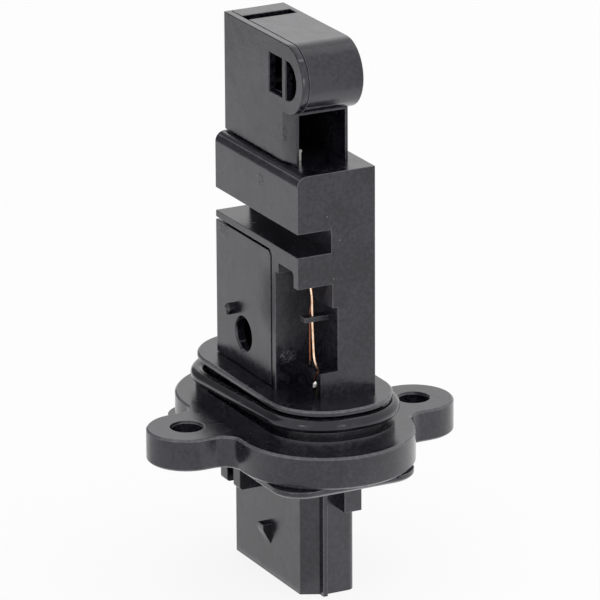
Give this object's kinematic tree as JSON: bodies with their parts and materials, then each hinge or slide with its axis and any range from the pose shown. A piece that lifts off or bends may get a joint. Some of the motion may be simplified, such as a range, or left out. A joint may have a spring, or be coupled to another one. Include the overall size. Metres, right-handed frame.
{
  "type": "mass airflow sensor",
  "caption": "Plug-in mass airflow sensor: flat probe with a hollow head and an open thermistor chamber, sealed oval spigot, two-eared flange and keyed connector shroud.",
  "frame": {"origin": "centre of the oval spigot, on the flange face that meets the air duct", "axes": "+Z along the probe, away from the connector; +X towards the side where the air enters; the near side with both covers faces -Y"},
  "size_m": [0.0491, 0.0504, 0.0895],
  "materials": {
    "black_plastic": "moulded glass-filled plastic, fine matt grain",
    "black_rubber": "smooth, lightly oiled",
    "aluminium_plate": "rolled",
    "ceramic_board": "white ceramic",
    "chip_resin": "moulded resin",
    "capacitor_body": "fired ceramic",
    "dark_gel": "soft poured gel",
    "bead_resin": "dipped resin",
    "copper_wire": "bright drawn copper",
    "tinned_strip": "tin plated",
    "ceramic_bobbin": "glazed ceramic"
  },
  "bodies": {
    "root": {"housing": "black_plastic", "bypass_cover": "black_plastic", "circuit_cover": "black_plastic", "seal_ring": "black_rubber", "base_plate": "aluminium_plate", "circuit_board": "ceramic_board", "control_chip": "chip_resin", "capacitor_1": "capacitor_body", "capacitor_2": "capacitor_body", "resistor": "capacitor_body", "sealing_gel": "dark_gel", "thermistor_bead": "bead_resin", "thermistor_lead_front": "copper_wire", "thermistor_lead_back": "copper_wire", "thermistor_tab_front": "tinned_strip", "thermistor_tab_back": "tinned_strip", "heater_element": "ceramic_bobbin", "reference_element": "ceramic_bobbin", "terminal_1": "tinned_strip", "terminal_2": "tinned_strip", "terminal_3": "tinned_strip", "terminal_4": "tinned_strip", "terminal_5": "tinned_strip", "sensing_post_1": "tinned_strip", "sensing_post_2": "tinned_strip", "sensing_post_3": "tinned_strip", "sensing_post_4": "tinned_strip"}
  },
  "joints": []
}
